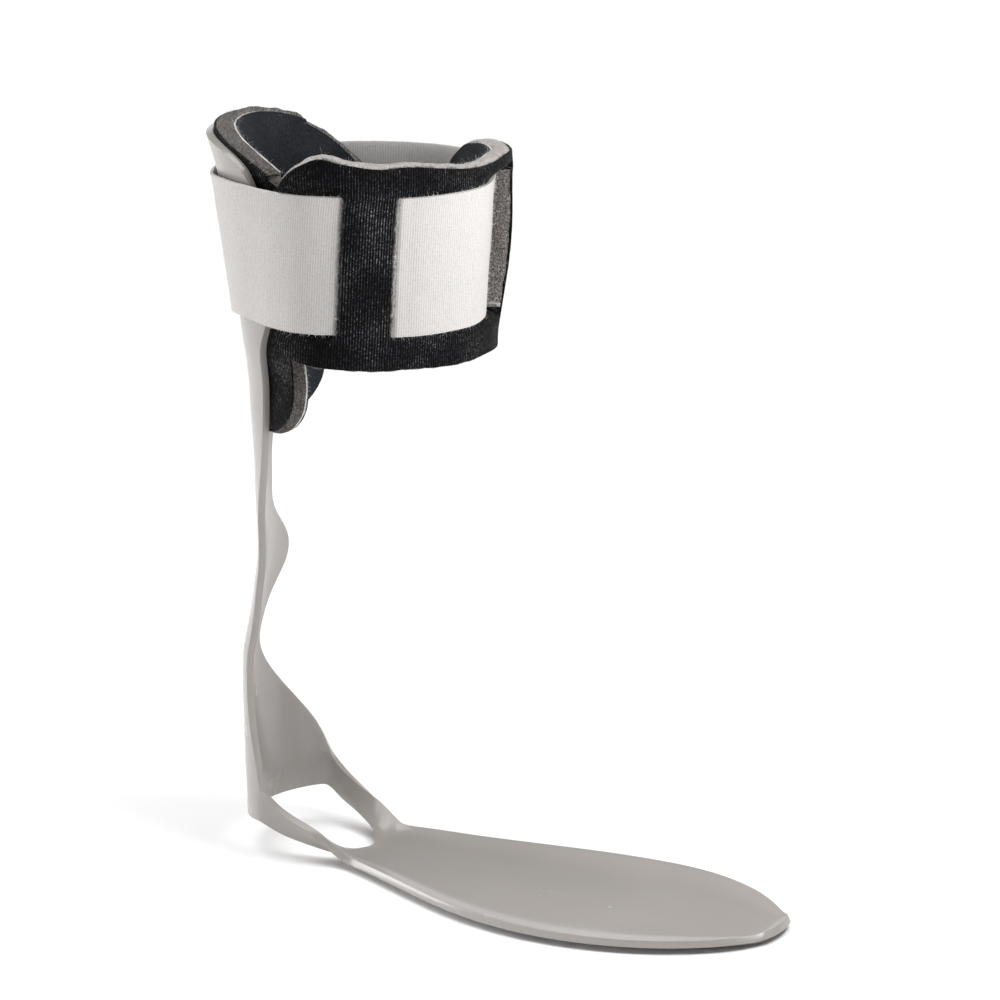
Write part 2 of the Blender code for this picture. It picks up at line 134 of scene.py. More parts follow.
# Height of the front pad's upper and lower edge at angles round it
FRONT_TOP = ((-115, 301), (-113.5, 307), (-110.5, 312.5), (-106.3, 317.8), (-102, 320.8), (-96.5, 323.4),
             (-87.3, 321.7), (-73.5, 319.0), (-60.8, 318.8), (-47, 317), (-30, 314.8), (-13, 314.8),
             (-5, 315.2), (20, 314), (42, 312.5), (52, 310), (57, 306), (60, 301), (61, 297))
FRONT_BOTTOM = ((-115, 257), (-112.8, 248.5), (-110, 242.8), (-106, 238.4), (-101.5, 236.4), (-95, 235),
                (-84.5, 234.2), (-69, 232.8), (-57, 232.6), (-35, 231.4), (-15.7, 231.6), (8, 230.4),
                (40, 232.5), (50, 236), (57, 243), (60, 252), (61, 258))
BRANCH_EDGE = ((62, 0, 0), (57, -11, 0.6), (50, -17.5, 3.4), (40, -22.4, 7.0), (29, -26.2, 10.6))


# ---------------------------------------------------------------- curves

def smooth(table, x):
    """Cubic curve through the rows of a table, read at x in its first column."""
    data = np.array(table, float)
    keys = data[:, 0]
    slopes = np.gradient(data, keys, axis=0)
    i = int(np.clip(np.searchsorted(keys, x) - 1, 0, len(keys) - 2))
    span = keys[i + 1] - keys[i]
    t = (x - keys[i]) / span
    a = data[i] * (2 * t**3 - 3 * t**2 + 1) + data[i + 1] * (3 * t**2 - 2 * t**3)
    b = slopes[i] * (t**3 - 2 * t**2 + t) + slopes[i + 1] * (t**3 - t**2)
    return (a + b * span)[1:]


def along(points, t):
    """Point at t from 0 to 1 on a smooth curve through a list of points."""
    table = [(k,) + tuple(p) for k, p in enumerate(points)]
    return smooth(table, t * (len(points) - 1))


def ease(x):
    """Smooth step from 0 to 1."""
    x = min(max(x, 0.0), 1.0)
    return x * x * (3 - 2 * x)


STATION_FINE = np.array([(h, *smooth(STATIONS, h)) for h in np.arange(WALL_LOW, CUFF_TOP + 1, 1.0)])


def station(height):
    """The wall station at a height, from a fine table."""
    return [np.interp(height, STATION_FINE[:, 0], STATION_FINE[:, k]) for k in range(1, 6)]


def to_foot(forward, side, height):
    """From the calf's frame, turned in by TOE_OUT about the heel, to the part's frame."""
    turn = math.radians(TOE_OUT)
    x = HEEL_RADIUS + (forward - HEEL_RADIUS) * math.cos(turn) - side * math.sin(turn)
    y = (forward - HEEL_RADIUS) * math.sin(turn) + side * math.cos(turn)
    return ((x - FOOT_LENGTH / 2) * MM, y * MM, height * MM)


def on_foot(x, y, z):
    """From millimetres ahead of the heel to the part's frame."""
    return ((x - FOOT_LENGTH / 2) * MM, y * MM, z * MM)


def wall_point(height, across):
    """Point on the wall's outer face. across runs from -1 at the lateral edge to 1 at the medial."""
    lateral, medial = station(height)[3:5]
    back = across * (lateral if across < 0 else medial)
    drop = TOP_DROP * ease((height - DROP_START) / (CUFF_TOP - DROP_START)) * (abs(back) / 58) ** 4
    lift = 3.0 * (abs(back - TOE_OUT) / 70) ** 2 * (1 - ease((height - WALL_LOW) / 17))
    z = height - drop + lift
    radius, ahead, side = station(z)[:3]
    turn = math.radians(back)
    return to_foot(ahead - radius * math.cos(turn), side + radius * math.sin(turn), z)


def calf_point(angle, radius, height):
    """Point round the calf at an angle from its forward direction, medial positive. The radius is
    the one at the strap's top edge, and it tapers below that as the calf does."""
    local, ahead = station(min(max(height, TAPER_LOW), STRAP_TOP))[:2]
    radius += local - CUFF_RADIUS
    turn = math.radians(angle)
    return to_foot(ahead + radius * math.cos(turn), radius * math.sin(turn), height)


CUFF_RADIUS = station(STRAP_TOP)[0]


# ---------------------------------------------------------------- meshes

def add_mesh(name, points, faces, material, flat=None, angle=45):
    """Object from points in metres. flat gives each point's place on the flat cloth, in metres."""
    mesh = bpy.data.meshes.new(name)
    mesh.from_pydata([tuple(p) for p in points], [], [tuple(f) for f in faces])
    if flat is not None:
        layer = mesh.uv_layers.new(name="cloth")
        index = np.zeros(len(mesh.loops), int)
        mesh.loops.foreach_get("vertex_index", index)
        layer.data.foreach_set("uv", np.asarray(flat, float)[index].ravel())
    mesh.materials.append(material)
    mesh.shade_smooth()
    mesh.set_sharp_from_angle(angle=math.radians(angle))
    item = bpy.data.objects.new(name, mesh)
    bpy.context.scene.collection.objects.link(item)
    return item


def modify(item, *steps):
    """Adds modifiers given as (type, settings) and leaves their result in the mesh."""
    for kind, settings in steps:
        modifier = item.modifiers.new(kind.title(), kind)
        for key, value in settings.items():
            setattr(modifier, key, value)
    bpy.context.view_layer.update()
    graph = bpy.context.evaluated_depsgraph_get()
    mesh = bpy.data.meshes.new_from_object(item.evaluated_get(graph), depsgraph=graph)
    old = item.data
    item.modifiers.clear()
    item.data = mesh
    bpy.data.meshes.remove(old)
    mesh.name = item.name


def shade(item, angle):
    """Smooth shading, apart from edges sharper than an angle in degrees."""
    item.data.shade_smooth()
    item.data.set_sharp_from_angle(angle=math.radians(angle))


def grid_faces(rows, columns, start=0):
    """Quads over a grid of rows x columns points."""
    faces = []
    for i in range(rows - 1):
        for j in range(columns - 1):
            a = start + i * columns + j
            faces.append((a, a + 1, a + columns + 1, a + columns))
    return faces


def pattern(angle_marks, height_marks, steps, is_open):
    """Flat cut of a pad in degrees and millimetres, with corners rounded by subdivision.
    The marks are the edges of the coarse cells, and is_open says which cells stay open."""
    angles = refine(angle_marks, steps[0])
    heights = refine(height_marks, steps[1])
    points = [(a, h, 0) for h in heights for a in angles]
    faces = []
    for face in grid_faces(len(heights), len(angles)):
        middle = np.mean([points[k] for k in face], axis=0)
        if not is_open(middle[0], middle[1]):
            faces.append(face)
    mesh = bpy.data.meshes.new("pattern")
    mesh.from_pydata(points, [], faces)
    item = bpy.data.objects.new("pattern", mesh)
    bpy.context.scene.collection.objects.link(item)
    modify(item, ("SUBSURF", {"levels": 2, "boundary_smooth": "ALL"}))
    bm = bmesh.new()
    bm.from_mesh(item.data)
    bmesh.ops.delete(bm, geom=[v for v in bm.verts if not v.link_faces], context="VERTS")
    bm.verts.index_update()
    flat = np.array([v.co[:2] for v in bm.verts])
    quads = [[v.index for v in f.verts] for f in bm.faces]
    bm.free()
    bpy.data.objects.remove(item)
    return flat, quads


def refine(marks, step):
    """Values from the first mark to the last, with every mark among them, about step apart."""
    values = []
    for low, high in zip(marks[:-1], marks[1:]):
        count = max(1, round((high - low) / step))
        values += list(np.linspace(low, high, count + 1)[:-1])
    return values + [marks[-1]]


def border_edges(quads):
    """Directed edges that belong to one face only."""
    edges = {}
    for quad in quads:
        for a, b in zip(quad, quad[1:] + quad[:1]):
            edges[(a, b)] = True
    return [(a, b) for (a, b) in edges if (b, a) not in edges]


def wrap(name, cut, place, depths, material, walls=1, bulge=0.0):
    """Closed layer of a pad: the flat cut wrapped round the calf between two depths. Its cut edges
    have this many rows of faces, and bulge is how far they swell, in millimetres."""
    flat, quads = cut
    outer = np.array([place(a, h, depths[0]) for a, h in flat])
    inner = np.array([place(a, h, depths[1]) for a, h in flat])
    count = len(flat)
    points = list(outer) + list(inner)
    faces = [list(q) for q in quads] + [[k + count for k in q[::-1]] for q in quads]
    scale = math.radians(1) * FRONT_RADIUS * MM
    cloth = [(a * scale, h * MM) for a, h in flat] * 2
    edges = border_edges(quads)
    outward = border_directions(outer, edges)
    chain = {}
    for k in sorted({k for e in edges for k in e}):
        chain[k] = [k]
        for step in range(1, walls):
            t = step / walls
            reach = (0.35 + 0.65 * abs(outward[k][2])) * bulge * MM
            swell = outward[k] * reach * math.sin(math.pi * t) ** 0.5
            chain[k].append(len(points))
            points.append(outer[k] * (1 - t) + inner[k] * t + swell)
            cloth.append(cloth[k])
        chain[k].append(k + count)
    for a, b in edges:
        for step in range(walls):
            faces.append([chain[b][step], chain[a][step], chain[a][step + 1], chain[b][step + 1]])
    return add_mesh(name, points, faces, material, cloth)


def border_directions(points, edges):
    """Direction out of the piece, in its surface, at every border point."""
    result = {}
    after = {a: b for a, b in edges}
    before = {b: a for a, b in edges}
    for k in after:
        tangent = points[after[k]] - points[before.get(k, k)]
        radial = points[k] - np.array(CALF_AXIS)
        radial[2] = 0
        out = np.cross(tangent, radial)
        result[k] = out / max(np.linalg.norm(out), 1e-9)
    return result


CALF_AXIS = to_foot(56.0, 0, 280.0)


def border_roots(cut, place, depths, count, rng):
    """Random spots on a pad's cut edges between two depths, each with the direction out of the pad."""
    flat, quads = cut
    edges = border_edges(quads)
    outward = border_directions(np.array([place(a, h, 0) for a, h in flat]), edges)
    roots = []
    for k in rng.integers(len(edges), size=count):
        start, end = edges[k]
        angle, height = flat[start] + (flat[end] - flat[start]) * rng.random()
        roots.append((np.array(place(angle, height, rng.uniform(*depths))), outward[start]))
    return roots


def face_roots(cut, place, count, rng):
    """Random spots on a pad's outer face, each with the direction out of it."""
    flat, quads = cut
    roots = []
    for k in rng.integers(len(quads), size=count):
        angle, height = flat[quads[k]].mean(axis=0) + rng.uniform(-0.8, 0.8, 2)
        spot = np.array(place(angle, height, 0))
        out = spot - np.array(CALF_AXIS)
        out[2] = 0
        roots.append((spot, out / np.linalg.norm(out)))
    return roots


def make_fuzz(name, roots, material, length, spread, rng, radius=0.04):
    """Loose fibres: a short bent three-sided strand at every root, lengths in millimetres."""
    rings = 4
    thirds = [2 * math.pi * k / 3 for k in range(3)]
    points = []
    faces = []
    for spot, out in roots:
        lean = out + rng.normal(0, spread, 3)
        lean /= np.linalg.norm(lean)
        curl = rng.normal(0, 0.6, 3)
        across = np.cross(lean, rng.normal(0, 1, 3))
        across /= np.linalg.norm(across)
        along_side = np.cross(lean, across)
        reach = length * rng.uniform(0.4, 1.0) * MM
        for step in range(rings):
            t = step / (rings - 1)
            middle = spot + (lean * t + curl * t * t) * reach - out * 0.0002
            thick = radius * (1 - 0.6 * t) * MM
            for turn in thirds:
                points.append(middle + (across * math.cos(turn) + along_side * math.sin(turn)) * thick)
        first = len(points) - 3 * rings
        for step in range(rings - 1):
            for side in range(3):
                a = first + step * 3 + side
                b = first + step * 3 + (side + 1) % 3
                faces.append((a, b, b + 3, a + 3))
        faces.append((first + 2, first + 1, first))
        faces.append((first + 9, first + 10, first + 11))
    return add_mesh(name, points, faces, material)


def roughen(item, amount, size, seed=0.0):
    """Moves points along their normals by smooth noise of a size, up to amount, in millimetres."""
    mesh = item.data
    count = len(mesh.vertices)
    points = np.empty(count * 3)
    normals = np.empty(count * 3)
    mesh.vertices.foreach_get("co", points)
    mesh.vertex_normals.foreach_get("vector", normals)
    points = points.reshape(-1, 3)
    normals = normals.reshape(-1, 3)
    for k in range(count):
        spot = Vector(points[k] / (size * MM)) + Vector((seed, 0, 0))
        points[k] += normals[k] * noise.noise(spot) * amount * MM
    mesh.vertices.foreach_set("co", points.ravel())
    mesh.update()


# ---------------------------------------------------------------- materials

class Recipe:
    """A material's nodes. Calls add a node and return its output, and set() feeds the shader."""

    def __init__(self, name):
        self.material = bpy.data.materials.new(name)
        self.material.use_nodes = True
        self.tree = self.material.node_tree
        self.shader = self.tree.nodes["Principled BSDF"]

    def node(self, kind, inputs=None, output=0, **settings):
        made = self.tree.nodes.new("ShaderNode" + kind)
        for key, value in settings.items():
            setattr(made, key, value)
        for key, value in (inputs or {}).items():
            self.feed(made.inputs[key], value)
        return made.outputs[output]

    def feed(self, socket, value):
        if isinstance(value, bpy.types.NodeSocket):
            self.tree.links.new(value, socket)
        else:
            socket.default_value = value

    def set(self, **inputs):
        for key, value in inputs.items():
            self.feed(self.shader.inputs[key.replace("_", " ")], value)

    def math(self, operation, a, b):
        return self.node("Math", {0: a, 1: b}, operation=operation)

    def ramp(self, value, *stops):
        made = self.tree.nodes.new("ShaderNodeValToRGB")
        self.feed(made.inputs[0], value)
        elements = made.color_ramp.elements
        while len(elements) < len(stops):
            elements.new(0.5)
        for element, (position, color) in zip(elements, stops):
            element.position = position
            element.color = (*color, 1)
        return made.outputs[0]

    def noise(self, where, scale, detail=3.0, roughness=0.5):
        return self.node("TexNoise", {"Vector": where, "Scale": scale, "Detail": detail,
                                      "Roughness": roughness})

    def cloth(self):
        """Place on the flat cloth, in metres."""
        return self.node("UVMap", uv_map="cloth")

    def place(self):
        """Place in the object, in metres."""
        return self.node("TexCoord", output=3)

    def stretch(self, where, scale):
        return self.node("Mapping", {"Vector": where, "Scale": scale})

    def bump(self, height, strength, distance):
        """Relief whose full height is distance, in millimetres."""
        bumped = self.node("Bump", {"Height": height, "Strength": strength, "Distance": distance * MM})
        self.feed(self.shader.inputs["Normal"], bumped)


def grey(value, warm=0.0):
    """Grey with its red raised and its blue lowered by the share warm."""
    return (value * (1 + warm), value, value * (1 - warm))


def moulded_plastic():
    """Natural polypropylene: glossy, a little cloudy, with soft waves from the vacuum forming."""
    r = Recipe("visual_polypropylene")
    where = r.place()
    cloud = r.noise(where, 22.0, 2.0)
    color = r.ramp(cloud, (0.25, (0.3, 0.28, 0.264)), (0.75, (0.325, 0.304, 0.287)))
    haze = r.noise(where, 60.0, 3.0)
    rough = r.ramp(haze, (0.3, grey(0.22)), (0.75, grey(0.28)))
    r.set(Base_Color=color, Roughness=rough, IOR=1.49, Coat_Weight=0.2, Coat_Roughness=0.16)
    waves = r.noise(where, 26.0, 1.0)
    r.bump(waves, 0.3, 0.4)
    return r.material


def loop_fabric():
    """Black brushed loop knit with upright wales, grey loop ends and a soft nap."""
    r = Recipe("visual_loop_fabric")
    flat = r.cloth()
    wales = r.node("TexWave", {"Vector": flat, "Scale": 270.0,
                               "Distortion": 0.6, "Detail": 2.0, "Detail Scale": 3.0}, output=1,
                   bands_direction="X", wave_profile="SIN")
    courses = r.noise(r.stretch(flat, (900, 520, 1)), 1.0, 2.0)
    specks = r.noise(r.stretch(flat, (1500, 1300, 1)), 1.0, 3.0, 0.7)
    patches = r.noise(flat, 45.0, 3.0)
    height = r.math("ADD", r.math("MULTIPLY", wales, 0.55), r.math("MULTIPLY", courses, 0.9))
    lit = r.math("MULTIPLY", r.math("MULTIPLY", height, specks), r.math("ADD", patches, 0.45))
    color = r.ramp(lit, (0.25, (0.002, 0.002, 0.0026)), (0.42, (0.0075, 0.0077, 0.0085)),
                   (0.55, (0.04, 0.0405, 0.043)), (0.72, (0.2, 0.2, 0.207)))
    r.set(Base_Color=color, Roughness=0.95, Sheen_Weight=0.03, Sheen_Roughness=0.4,
          Specular_IOR_Level=0.06)
    r.bump(r.math("ADD", height, specks), 0.9, 0.35)
    return r.material


def cut_foam(name, painted_light_level):
    """Open-cell foam: dark cells, lighter struts and a few bright glints. painted_light_level, from 0 to
    1, sets how much painted light pales its upward faces; below 1, painted shade also darkens the whole
    foam."""
    r = Recipe(name)
    where = r.place()
    cells = r.node("TexVoronoi", {"Vector": where, "Scale": 1250.0, "Randomness": 1.0}, feature="F1")
    fine = r.noise(where, 1500.0, 4.0, 0.7)
    broad = r.noise(where, 110.0, 3.0)
    tone = r.math("ADD", r.math("MULTIPLY", fine, 0.75), r.math("MULTIPLY", cells, 0.25))
    tone = r.math("ADD", tone, r.math("MULTIPLY", broad, 0.12))
    # Painted shade: the lower the level, the darker every colour of the foam.
    painted_shade_scale = 0.55 + 0.45 * painted_light_level
    stops = ((0.36, (0.03, 0.0275, 0.0255)), (0.52, (0.095, 0.087, 0.081)),
             (0.66, (0.2, 0.184, 0.174)), (0.8, (0.5, 0.48, 0.465)))
    color = r.ramp(tone, *((at, tuple(c * painted_shade_scale for c in stop)) for at, stop in stops))
    # Painted light: faces that point upward turn towards the paler colour, as far as the level allows.
    upward = r.node("SeparateXYZ", {0: r.node("TexCoord", output=1)}, output=2)
    pale = r.ramp(tone, (0.4, (0.23, 0.216, 0.207)), (0.7, (0.53, 0.5, 0.483)))
    color = r.node("Mix", {0: r.ramp(upward, (0.45, grey(0)), (0.85, grey(painted_light_level))), 6: color, 7: pale},
                   output=2, data_type="RGBA")
    r.set(Base_Color=color, Roughness=1.0, Specular_IOR_Level=0.1)
    r.bump(r.math("SUBTRACT", fine, cells), 0.9, 0.5)
    return r.material


def scrim_cloth():
    """White bonding cloth between foam and lining."""
    r = Recipe("visual_scrim")
    fibres = r.noise(r.place(), 1100.0, 4.0, 0.7)
    color = r.ramp(fibres, (0.3, (0.5, 0.485, 0.47)), (0.65, (0.86, 0.85, 0.83)))
    r.set(Base_Color=color, Roughness=0.95)
    r.bump(fibres, 0.6, 0.3)
    return r.material


def lining_cloth():
    """Smooth blue-black knit that lies against the leg."""
    r = Recipe("visual_lining")
    flat = r.cloth()
    knit = r.noise(r.stretch(flat, (1100, 700, 1)), 1.0, 2.0)
    broad = r.noise(flat, 60.0, 3.0)
    tone = r.math("MULTIPLY", knit, r.math("ADD", broad, 0.5))
    color = r.ramp(tone, (0.25, (0.004, 0.005, 0.007)), (0.7, (0.022, 0.026, 0.032)))
    r.set(Base_Color=color, Roughness=0.75, Sheen_Weight=0.04, Sheen_Roughness=0.4,
          Specular_IOR_Level=0.2)
    r.bump(knit, 0.4, 0.2)
    return r.material


def strap_cloth():
    """Off-white brushed strap with fine upright ribs across it."""
    r = Recipe("visual_strap")
    flat = r.cloth()
    ribs = r.node("TexWave", {"Vector": flat, "Scale": 300.0, "Distortion": 0.8, "Detail": 2.0,
                              "Detail Scale": 4.0}, output=1, bands_direction="X",
                  wave_profile="SIN")
    weft = r.noise(r.stretch(flat, (520, 1500, 1)), 1.0, 2.0)
    warp = r.noise(r.stretch(flat, (1400, 300, 1)), 1.0, 2.0)
    soil = r.noise(flat, 32.0, 3.0)
    weave = r.math("ADD", weft, r.math("MULTIPLY", warp, 0.6))
    height = r.math("ADD", r.math("MULTIPLY", ribs, 0.6), weave)
    tone = r.math("ADD", r.math("MULTIPLY", height, 0.5), r.math("MULTIPLY", soil, 0.1))
    color = r.ramp(tone, (0.4, (0.4, 0.383, 0.372)), (0.54, (0.485, 0.466, 0.454)),
                   (0.8, (0.55, 0.532, 0.521)))
    r.set(Base_Color=color, Roughness=0.85, Sheen_Weight=0.06, Sheen_Roughness=0.5,
          Specular_IOR_Level=0.2)
    r.bump(height, 0.55, 0.22)
    return r.material


def fibre_material(name, color):
    """Loose fibres of one colour, some of them darker."""
    r = Recipe(name)
    tone = r.noise(r.place(), 700.0, 2.0)
    dark = tuple(c * 0.7 for c in color)
    r.set(Base_Color=r.ramp(tone, (0.3, dark), (0.7, color)), Roughness=0.9)
    return r.material


def hook_plastic():
    """Moulded hook tape."""
    r = Recipe("visual_hook_tape")
    tone = r.noise(r.place(), 400.0, 3.0)
    r.set(Base_Color=r.ramp(tone, (0.3, grey(0.012)), (0.7, grey(0.035))), Roughness=0.5)
    r.bump(r.noise(r.place(), 1600.0, 2.0), 0.4, 0.2)
    return r.material


def nickel():
    """Plated rivets with fine rub marks."""
    r = Recipe("visual_nickel")
    rub = r.noise(r.stretch(r.place(), (300, 300, 2600)), 1.0, 4.0)
    r.set(Base_Color=r.ramp(rub, (0.3, grey(0.5, 0.02)), (0.7, grey(0.68, 0.02))), Metallic=1.0,
          Roughness=r.ramp(rub, (0.3, grey(0.2)), (0.7, grey(0.38))))
    r.bump(rub, 0.08, 0.02)
    return r.material


# ---------------------------------------------------------------- moulded shell

def plate_rows(rows, columns):
    """Rows of the plate's underside from its rear edge to the toe, lateral border first."""
    result = []
    for i in range(rows + 1):
        t = i / rows
        lateral = along(LATERAL_BORDER, t)
        medial = along(MEDIAL_BORDER, t)
        row = []
        for j in range(columns + 1):
            across = 2 * j / columns - 1
            x, y = lateral + (medial - lateral) * (across + 1) / 2
            x += 1.6 * ease((t - 0.8) / 0.2) * (1 - across**2)
            z = RIM_LIFT * max(ease((abs(across) - 0.74) / 0.26), ease((t - 0.93) / 0.07))
            row.append(on_foot(x, y, z))
        result.append(row)
    return result


def branch_rows(side, rows, columns):
    """Rows of one heel branch from the plate back to the heel wall, upper edge first."""
    result = []
    for i in range(rows + 1):
        rim = along(BRANCH_RIM, i / rows)
        edge = along(BRANCH_EDGE, i / rows)
        row = [rim + (edge - rim) * (j / columns) for j in range(columns + 1)]
        result.append([on_foot(p[0], p[1] * side * -1, p[2]) for p in row])
    return result


def wall_rows(low, high, rows):
    """Rows of the wall's outer face between two heights, each from the lateral to the medial edge."""
    across = np.linspace(-1, 1, 15)
    return [[wall_point(h, a) for a in across] for h in np.linspace(low, high, rows)]


def shell_blocks():
    """Grids of points for the heel wall, strut and cuff, plate and branches, with shared borders."""
    half = 4
    heel_rows = wall_rows(WALL_LOW, BRANCH_HIGH, half + 1)
    upper_rows = wall_rows(BRANCH_HIGH, CUFF_TOP, 53)
    plate = plate_rows(18, 2 * half)
    blocks = [heel_rows, upper_rows, plate]
    for side in (-1, 1):
        branch = branch_rows(side, 6, half)
        column = 0 if side < 0 else -1
        branch[0] = plate[0][:half + 1] if side < 0 else plate[0][::-1][:half + 1]
        branch.append([row[column] for row in heel_rows][::-1])
        blocks.append(branch)
    return blocks


def make_shell(material):
    """Cuff, strut, heel wall, heel branches and foot plate as one moulding."""
    points = []
    faces = []
    for block in shell_blocks():
        faces += grid_faces(len(block), len(block[0]), len(points))
        points += [p for row in block for p in row]
    item = add_mesh("moulded_shell", points, faces, material)
    bm = bmesh.new()
    bm.from_mesh(item.data)
    bmesh.ops.remove_doubles(bm, verts=bm.verts, dist=0.00001)
    bmesh.ops.recalc_face_normals(bm, faces=bm.faces)
    if sum(face.normal.z for face in bm.faces) > 0:
        bmesh.ops.reverse_faces(bm, faces=bm.faces)
    bm.to_mesh(item.data)
    bm.free()
    modify(item,
           ("SUBSURF", {"levels": 2}),
           ("SOLIDIFY", {"thickness": WALL * MM, "offset": -1, "use_quality_normals": True}),
           ("BEVEL", {"width": EDGE_ROUND * MM, "segments": 3, "limit_method": "ANGLE",
                      "angle_limit": math.radians(50)}))
    shade(item, 60)
    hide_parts("foot_section", "leaf_spring", "calf_cuff")
    return item


# ---------------------------------------------------------------- pads

def front_radius(angle):
    """Outer radius of the front pad, which laps over the calf pad on the lateral side."""
    return FRONT_RADIUS + FRONT_LAP * ease((-52 - angle) / 40)


def skew(angle, height):
    """The front pad and strap are cut straight and lie on a cone, so their upright lines lean."""
    local = station(min(max(height, TAPER_LOW), STRAP_TOP))[0] - station(STRAP_MIDDLE)[0]
    offset = angle - FRONT_MIDDLE
    fade = 1 - ease((abs(offset) - FRONT_HALF) / 40)
    return angle - offset * fade * local / FRONT_RADIUS


def strap_shift(angle):
    """How far the strap sits above its level line: it dips over the shin and behind the cuff."""
    return -2.0 * ease((angle + 88) / 28) - 2.5 * ease((-140 - angle) / 30)


def tail_radii():
    """Radius of the strap's free end: over the pad's lateral end, then straight to the cuff."""
    on_cuff = CUFF_RADIUS + 1.0 + STRAP_THICK + 0.6
    on_pad = front_radius(FRONT_START) + STRAP_THICK - 3.2
    span = math.degrees(math.acos(on_cuff / on_pad))
    angles = np.arange(-225.0, -80.0)
    radii = []
    for angle in angles:
        if angle > FRONT_START:
            sink = 3.2 * ease((-96 - angle) / 19) + 2.6 * ease((angle + 106) / 17)
            radii.append(front_radius(angle) + STRAP_THICK - sink)
        else:
            radii.append(on_cuff / math.cos(math.radians(max(0.0, span - (FRONT_START - angle)))))
    return angles, np.convolve(np.pad(radii, 5, "edge"), np.ones(11) / 11, "valid")


TAIL_ANGLES, TAIL_RADII = tail_radii()


def strap_over(angle):
    """Outer radius of the strap where it lies over the front pad. It sinks in near the slots."""
    if angle < -82:
        return np.interp(angle, TAIL_ANGLES, TAIL_RADII)
    radius = front_radius(angle) + STRAP_THICK
    if angle < 22:
        radius -= 1.2 * ease((-54 - angle) / 8) + 7.2 * ease((angle + 34) / 42)
    else:
        radius -= 1.6 * ease((46 - angle) / 10)
    return radius


def front_place(angle, height, depth):
    """Point of the front pad at a depth below its outer face, pressed in under the strap."""
    shift = strap_shift(max(angle, FRONT_START))
    low = SLOT_LOW + shift
    high = SLOT_HIGH + shift
    top = smooth(FRONT_TOP, angle)[0]
    bottom = smooth(FRONT_BOTTOM, angle)[0]
    marks = (FRONT_LOW, SLOT_LOW, SLOT_HIGH, FRONT_HIGH)
    z = np.interp(height, marks, (bottom, max(low, bottom + 1), min(high, top - 1), top))
    outside = max(abs(z - (low + high) / 2) - STRAP_WIDTH / 2 - 0.3, 0)
    lifted = ease((angle - 1) / 11.5) * ease((46 - angle) / 10)
    radius = front_radius(angle) + 3.0 * lifted * (1 - ease(abs(z - (low + high) / 2) / 50))
    if SLOTS[1] < angle < SLOTS[2] or angle < SLOTS[0] or angle > SLOTS[3]:
        press = max(0.0, radius - (strap_over(angle) - STRAP_THICK - 0.1)) * (1 - ease(outside / 5))
        radius -= press * (1 - ease(depth / FOAM_DEPTH[1]) * 0.85)
    return calf_point(skew(angle, z), radius - depth, z)


def front_cut():
    """Flat cut of the front pad with its four slots."""
    slot_edges = [s + d for s in SLOTS for d in (-SLOT_HALF, SLOT_HALF)]

    def is_open(angle, height):
        in_slot = any(abs(angle - s) < SLOT_HALF for s in SLOTS)
        return in_slot and SLOT_LOW < height < SLOT_HIGH

    return pattern(sorted([FRONT_START, FRONT_END] + slot_edges),
                   [FRONT_LOW, SLOT_LOW, SLOT_HIGH, FRONT_HIGH], (5.0, 6.4), is_open)


def pad_place(angle, height, depth):
    """Point of the calf pad at a depth below its outer face, inside the cuff."""
    drop = 19 * (abs(angle - 180) / 65) ** 2.6 * ease((height - DROP_START) / (PAD_HIGH - DROP_START))
    half = (TONGUE_LATERAL - TONGUE_MEDIAL) / 2
    across = (angle - (TONGUE_LATERAL + TONGUE_MEDIAL) / 2) / half
    corner = max(0.0, (abs(across) - 0.5) / 0.5) ** 2.6
    z = height - drop + 11 * corner * max(0.0, 1 - (height - TONGUE_LOW) / 30) ** 2
    if abs(across) <= 1.001:
        angle += across * (4.0 * ease((height - 212) / 30) - 2.0 * ease((TONGUE_LOW + 20 - height) / 20))
    radius, ahead = station(min(max(z, 222), CUFF_TOP))[:2]
    patch = ease((z - 250) / 8) * ease((312 - z) / 8)
    low = ease((TAPER_LOW - z) / 20)
    radius -= WALL + 0.5 + 1.2 * patch + 1.4 * low + depth
    turn = math.radians(angle)
    return to_foot(ahead + 0.6 * low + radius * math.cos(turn), radius * math.sin(turn), z)


def calf_cut():
    """Flat cut of the calf pad: two wings and a tongue."""

    def is_open(angle, height):
        return height < PAD_WING_LOW and not TONGUE_MEDIAL < angle < TONGUE_LATERAL

    return pattern([PAD_MEDIAL, TONGUE_MEDIAL, TONGUE_LATERAL, PAD_LATERAL],
                   [TONGUE_LOW, PAD_WING_LOW, PAD_HIGH], (6.2, 6.2), is_open)


# Layers of both pads: name, depths, material, rows of faces on the cut edge, slot
LAYERS = (
    ("outer_fabric", FABRIC_DEPTH, "loop_fabric", 1, "black_loop_fabric"),
    ("foam", FOAM_DEPTH, "foam", 6, "grey_foam"),
    ("scrim", SCRIM_DEPTH, "scrim", 1, "white_scrim"),
    ("lining", LINING_DEPTH, "lining", 1, "black_lining"),
)


def make_pad(prefix, cut, place, body, materials):
    """The four laminated layers of a pad, and its loose fibres."""
    for name, depths, key, walls, slot in LAYERS:
        material = materials[f"{prefix}_foam" if key == "foam" else key]
        item = wrap(f"{prefix}_{name}_layer", cut, place, depths, material, walls,
                    1.3 if walls > 1 else 0.0)
        if walls > 1:
            roughen(item, 0.35, 1.1)
            roughen(item, 0.6, 6.0, seed=4.0)
        else:
            roughen(item, 0.12, 2.0, seed=2.0)
        shade(item, 50)
        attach(item, body)
        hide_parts(f"{prefix}_{name}")
    add_pad_fuzz(prefix, cut, place, body, materials)


